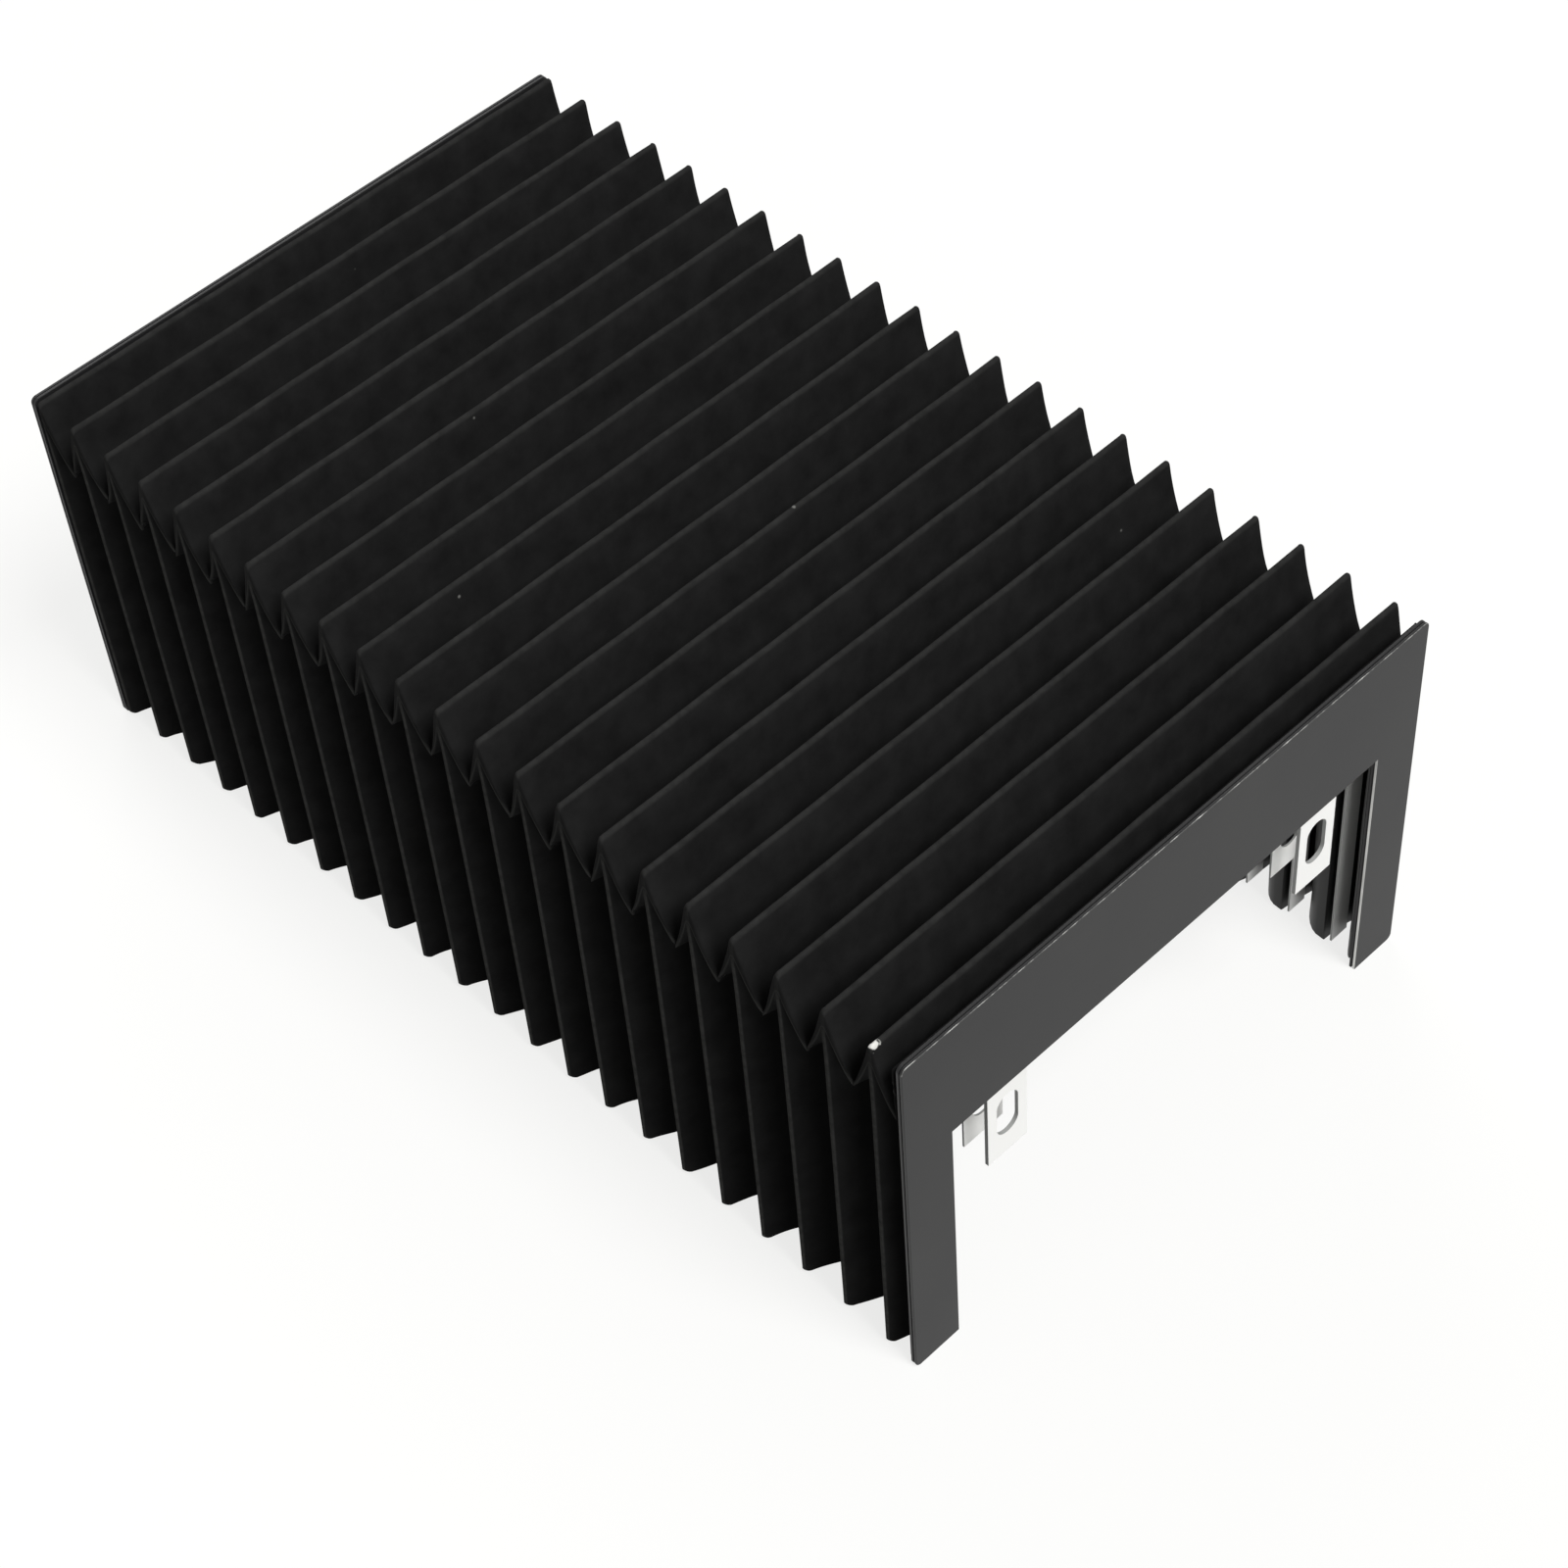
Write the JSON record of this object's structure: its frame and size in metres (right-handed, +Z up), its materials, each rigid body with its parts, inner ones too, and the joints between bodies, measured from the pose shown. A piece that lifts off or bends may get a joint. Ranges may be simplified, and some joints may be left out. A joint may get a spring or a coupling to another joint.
{
  "type": "bellows way cover",
  "caption": "Pleated black cloth tunnel between two U-shaped end plates, with white stiffeners and guide ears in its folds; it slides shut along the machine way it covers.",
  "frame": {"origin": "under the middle of the cover, on the surface that the end plates stand on", "axes": "+X along the travel towards the front plate, +Y across, +Z up"},
  "size_m": [0.3504, 0.2, 0.135],
  "materials": {
    "coated_cloth": "matte black coated cloth with paler worn creases",
    "end_plate": "satin dark grey paint with lighter edges",
    "stiffener_sheet": "white plastic sheet with cut edges"
  },
  "bodies": {
    "base": {"rear_plate": "end_plate", "rear_backing": "stiffener_sheet", "bellows_skin": "coated_cloth"},
    "front_end": {"front_backing": "stiffener_sheet", "front_plate": "end_plate"},
    "stiffener_02_body": {"stiffener_02": "stiffener_sheet"},
    "stiffener_03_body": {"stiffener_03": "stiffener_sheet"},
    "stiffener_04_body": {"stiffener_04": "stiffener_sheet"},
    "stiffener_05_body": {"stiffener_05": "stiffener_sheet"},
    "stiffener_06_body": {"stiffener_06": "stiffener_sheet"},
    "stiffener_07_body": {"stiffener_07": "stiffener_sheet"},
    "stiffener_08_body": {"stiffener_08": "stiffener_sheet"},
    "stiffener_09_body": {"stiffener_09": "stiffener_sheet"},
    "stiffener_10_body": {"stiffener_10": "stiffener_sheet"},
    "stiffener_11_body": {"stiffener_11": "stiffener_sheet"},
    "stiffener_12_body": {"stiffener_12": "stiffener_sheet"},
    "stiffener_13_body": {"stiffener_13": "stiffener_sheet"},
    "stiffener_14_body": {"stiffener_14": "stiffener_sheet"},
    "stiffener_15_body": {"stiffener_15": "stiffener_sheet"},
    "stiffener_16_body": {"stiffener_16": "stiffener_sheet"},
    "stiffener_17_body": {"stiffener_17": "stiffener_sheet"},
    "stiffener_18_body": {"stiffener_18": "stiffener_sheet"},
    "stiffener_19_body": {"stiffener_19": "stiffener_sheet"},
    "stiffener_20_body": {"stiffener_20": "stiffener_sheet"},
    "stiffener_21_body": {"stiffener_21": "stiffener_sheet"},
    "stiffener_22_body": {"stiffener_22": "stiffener_sheet"}
  },
  "joints": [
    {"name": "front_slide", "type": "slide", "parent": "base", "child": "front_end", "axis": [1, 0, 0], "range_m": [-0.25807, 0], "deforming": ["bellows_skin"]},
    {"name": "stiffener_02_slide", "type": "slide", "parent": "base", "child": "stiffener_02_body", "axis": [1, 0, 0], "range_m": [-0.01223, 0]},
    {"name": "stiffener_03_slide", "type": "slide", "parent": "base", "child": "stiffener_03_body", "axis": [1, 0, 0], "range_m": [-0.02423, 0]},
    {"name": "stiffener_04_slide", "type": "slide", "parent": "base", "child": "stiffener_04_body", "axis": [1, 0, 0], "range_m": [-0.03623, 0]},
    {"name": "stiffener_05_slide", "type": "slide", "parent": "base", "child": "stiffener_05_body", "axis": [1, 0, 0], "range_m": [-0.04823, 0]},
    {"name": "stiffener_06_slide", "type": "slide", "parent": "base", "child": "stiffener_06_body", "axis": [1, 0, 0], "range_m": [-0.06023, 0]},
    {"name": "stiffener_07_slide", "type": "slide", "parent": "base", "child": "stiffener_07_body", "axis": [1, 0, 0], "range_m": [-0.07223, 0]},
    {"name": "stiffener_08_slide", "type": "slide", "parent": "base", "child": "stiffener_08_body", "axis": [1, 0, 0], "range_m": [-0.08423, 0]},
    {"name": "stiffener_09_slide", "type": "slide", "parent": "base", "child": "stiffener_09_body", "axis": [1, 0, 0], "range_m": [-0.09623, 0]},
    {"name": "stiffener_10_slide", "type": "slide", "parent": "base", "child": "stiffener_10_body", "axis": [1, 0, 0], "range_m": [-0.10823, 0]},
    {"name": "stiffener_11_slide", "type": "slide", "parent": "base", "child": "stiffener_11_body", "axis": [1, 0, 0], "range_m": [-0.12023, 0]},
    {"name": "stiffener_12_slide", "type": "slide", "parent": "base", "child": "stiffener_12_body", "axis": [1, 0, 0], "range_m": [-0.13223, 0]},
    {"name": "stiffener_13_slide", "type": "slide", "parent": "base", "child": "stiffener_13_body", "axis": [1, 0, 0], "range_m": [-0.14423, 0]},
    {"name": "stiffener_14_slide", "type": "slide", "parent": "base", "child": "stiffener_14_body", "axis": [1, 0, 0], "range_m": [-0.15623, 0]},
    {"name": "stiffener_15_slide", "type": "slide", "parent": "base", "child": "stiffener_15_body", "axis": [1, 0, 0], "range_m": [-0.16823, 0]},
    {"name": "stiffener_16_slide", "type": "slide", "parent": "base", "child": "stiffener_16_body", "axis": [1, 0, 0], "range_m": [-0.18023, 0]},
    {"name": "stiffener_17_slide", "type": "slide", "parent": "base", "child": "stiffener_17_body", "axis": [1, 0, 0], "range_m": [-0.19223, 0]},
    {"name": "stiffener_18_slide", "type": "slide", "parent": "base", "child": "stiffener_18_body", "axis": [1, 0, 0], "range_m": [-0.20423, 0]},
    {"name": "stiffener_19_slide", "type": "slide", "parent": "base", "child": "stiffener_19_body", "axis": [1, 0, 0], "range_m": [-0.21623, 0]},
    {"name": "stiffener_20_slide", "type": "slide", "parent": "base", "child": "stiffener_20_body", "axis": [1, 0, 0], "range_m": [-0.22823, 0]},
    {"name": "stiffener_21_slide", "type": "slide", "parent": "base", "child": "stiffener_21_body", "axis": [1, 0, 0], "range_m": [-0.24023, 0]},
    {"name": "stiffener_22_slide", "type": "slide", "parent": "base", "child": "stiffener_22_body", "axis": [1, 0, 0], "range_m": [-0.25223, 0]}
  ],
  "couplings": [
    {"joint": "stiffener_02_slide", "follows": "front_slide", "ratio": 0.04737},
    {"joint": "stiffener_03_slide", "follows": "front_slide", "ratio": 0.093868},
    {"joint": "stiffener_04_slide", "follows": "front_slide", "ratio": 0.14037},
    {"joint": "stiffener_05_slide", "follows": "front_slide", "ratio": 0.18686},
    {"joint": "stiffener_06_slide", "follows": "front_slide", "ratio": 0.23336},
    {"joint": "stiffener_07_slide", "follows": "front_slide", "ratio": 0.27986},
    {"joint": "stiffener_08_slide", "follows": "front_slide", "ratio": 0.32636},
    {"joint": "stiffener_09_slide", "follows": "front_slide", "ratio": 0.37286},
    {"joint": "stiffener_10_slide", "follows": "front_slide", "ratio": 0.41935},
    {"joint": "stiffener_11_slide", "follows": "front_slide", "ratio": 0.46585},
    {"joint": "stiffener_12_slide", "follows": "front_slide", "ratio": 0.51235},
    {"joint": "stiffener_13_slide", "follows": "front_slide", "ratio": 0.55885},
    {"joint": "stiffener_14_slide", "follows": "front_slide", "ratio": 0.60535},
    {"joint": "stiffener_15_slide", "follows": "front_slide", "ratio": 0.65185},
    {"joint": "stiffener_16_slide", "follows": "front_slide", "ratio": 0.69834},
    {"joint": "stiffener_17_slide", "follows": "front_slide", "ratio": 0.74484},
    {"joint": "stiffener_18_slide", "follows": "front_slide", "ratio": 0.79134},
    {"joint": "stiffener_19_slide", "follows": "front_slide", "ratio": 0.83784},
    {"joint": "stiffener_20_slide", "follows": "front_slide", "ratio": 0.88434},
    {"joint": "stiffener_21_slide", "follows": "front_slide", "ratio": 0.93083},
    {"joint": "stiffener_22_slide", "follows": "front_slide", "ratio": 0.97733}
  ]
}
